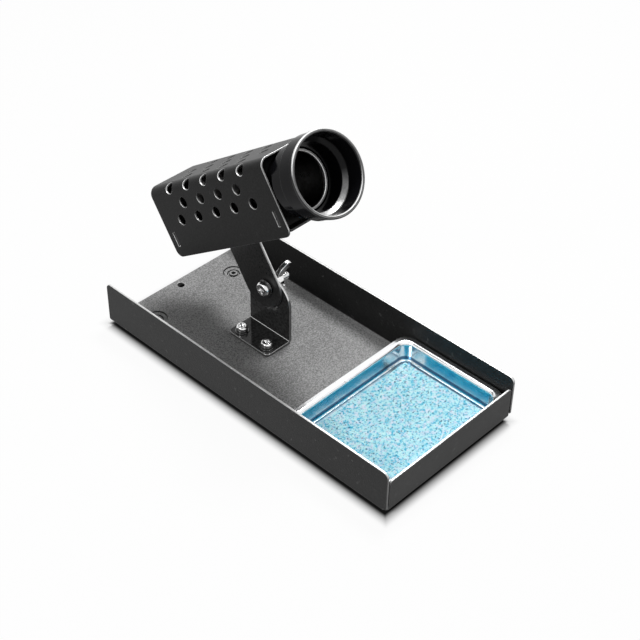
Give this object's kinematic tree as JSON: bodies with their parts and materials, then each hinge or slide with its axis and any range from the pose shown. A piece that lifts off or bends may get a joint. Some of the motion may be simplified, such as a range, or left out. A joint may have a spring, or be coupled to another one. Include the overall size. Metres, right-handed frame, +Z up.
{
  "type": "soldering iron stand",
  "caption": "Bench stand for a soldering iron: folded sheet base on rubber feet, perforated holder with a funnel mouth on a tilting arm, wing nut clamp, and a steel dish with a sponge.",
  "frame": {"origin": "centre of the footprint, on the plane that the rubber feet stand on", "axes": "+Z up, -Y towards the sponge and the holder's mouth, +X towards the wing nut's side"},
  "size_m": [0.09, 0.192, 0.1424],
  "materials": {
    "base_paint": "fine-grained matt black powder coat",
    "bracket_paint": "satin black paint, smooth enough to reflect",
    "cover_paint": "satin black paint, brighter at the bends",
    "cup_plastic": "glossy black heat-resistant moulding",
    "liner_steel": "bare drawn steel tube, slightly dark inside",
    "bright_zinc": "bright zinc plate",
    "dish_steel": "pressed stainless sheet, semi-bright",
    "foot_rubber": "matt black rubber",
    "sponge": "dry light blue cellulose sponge with small open cells"
  },
  "bodies": {
    "base": {"base_tray": "base_paint", "foot_front_left": "foot_rubber", "foot_front_right": "foot_rubber", "foot_rear_left": "foot_rubber", "foot_rear_right": "foot_rubber", "bracket": "bracket_paint", "bracket_screw_front": "bright_zinc", "bracket_screw_rear": "bright_zinc", "spring_washer_front": "bright_zinc", "spring_washer_rear": "bright_zinc", "screw_washer_front": "bright_zinc", "screw_washer_rear": "bright_zinc", "bracket_nut_front": "bright_zinc", "bracket_nut_rear": "bright_zinc", "pivot_bolt": "bright_zinc", "bolt_washer": "bright_zinc"},
    "holder": {"arm": "bracket_paint", "arm_rivet_front": "bright_zinc", "arm_rivet_rear": "bright_zinc", "holder_floor": "bracket_paint", "cover": "cover_paint", "front_bulkhead": "bracket_paint", "rear_bulkhead": "bracket_paint", "liner_tube": "liner_steel", "mouth_cup": "cup_plastic"},
    "clamp": {"clamp_washer": "bright_zinc"},
    "wing_nut": {"wing_nut": "bright_zinc"},
    "sponge_dish": {"sponge_dish": "dish_steel"},
    "sponge": {"sponge": "sponge"}
  },
  "joints": [
    {"name": "holder_tilt", "type": "hinge", "parent": "base", "child": "holder", "pos_m": [0, 0.0305, 0.0345], "axis": [1, 0, 0], "range_deg": [-50, 36]},
    {"name": "clamp_travel", "type": "slide", "parent": "base", "child": "clamp", "axis": [1, 0, 0], "range_m": [0, 0.0014]},
    {"name": "wing_nut_turn", "type": "hinge", "parent": "clamp", "child": "wing_nut", "pos_m": [0, 0.0305, 0.0345], "axis": [1, 0, 0], "range_deg": [0, 720]},
    {"name": "dish_lift", "type": "slide", "parent": "base", "child": "sponge_dish", "axis": [0, 0, 1], "range_m": [0, 0.03]},
    {"name": "sponge_lift", "type": "slide", "parent": "sponge_dish", "child": "sponge", "axis": [0, 0, 1], "range_m": [0, 0.015]}
  ],
  "couplings": [
    {"joint": "wing_nut_turn", "follows": "clamp_travel", "rad_per_m": 8976}
  ]
}
